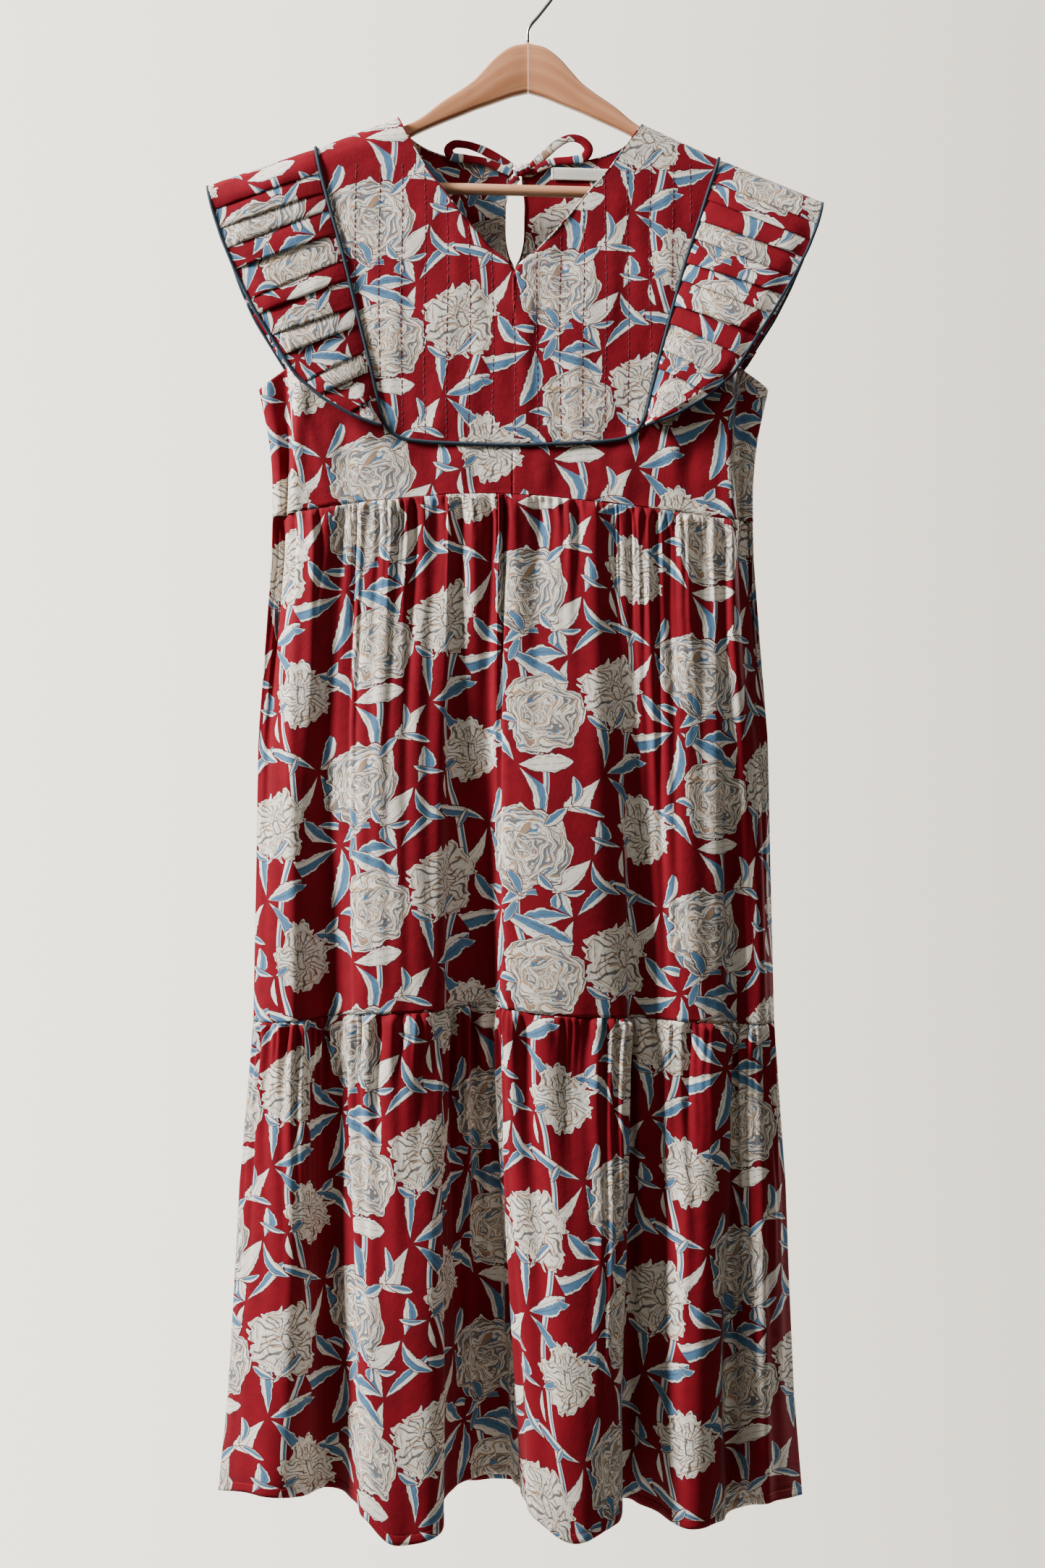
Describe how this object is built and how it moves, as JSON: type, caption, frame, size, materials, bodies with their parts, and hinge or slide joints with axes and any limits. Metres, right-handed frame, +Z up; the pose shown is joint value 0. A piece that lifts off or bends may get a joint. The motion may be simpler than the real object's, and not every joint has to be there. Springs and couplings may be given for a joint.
{
  "type": "yoke dress on a wooden hanger",
  "caption": "Red floral cotton yoke dress with pleated flanges, tie back neck and two gathered skirt tiers, hanging on a wooden hanger",
  "frame": {"origin": "inner top of the hanger's hook, where a rail holds it", "axes": "+Z up, +X to the viewer's right with the front of the dress towards the viewer, the front faces -Y"},
  "size_m": [0.5426, 0.1449, 1.3726],
  "materials": {
    "print_cloth": "matte crimson cotton, block printed with flowers and leaves",
    "piping_cloth": "matte dark teal cotton piping",
    "label_cloth": "plain woven label, satin",
    "hanger_wood": "lacquered beech",
    "hook_wire": "nickel plated wire"
  },
  "bodies": {
    "root": {"hanger_arm_left": "hanger_wood", "hanger_arm_right": "hanger_wood", "hanger_bar": "hanger_wood", "hanger_hook": "hook_wire", "yoke_front": "print_cloth", "yoke_back": "print_cloth", "bodice_front": "print_cloth", "bodice_back": "print_cloth", "skirt_upper_front": "print_cloth", "skirt_upper_back": "print_cloth", "skirt_lower_front": "print_cloth", "skirt_lower_back": "print_cloth", "flange_left": "print_cloth", "flange_right": "print_cloth", "piping_flange_left": "piping_cloth", "piping_flange_right": "piping_cloth", "piping_yoke_front": "piping_cloth", "piping_yoke_back": "piping_cloth", "tie_loop_left": "print_cloth", "tie_loop_right": "print_cloth", "tie_knot": "print_cloth", "tie_tail": "print_cloth", "neck_label": "label_cloth"}
  },
  "joints": []
}
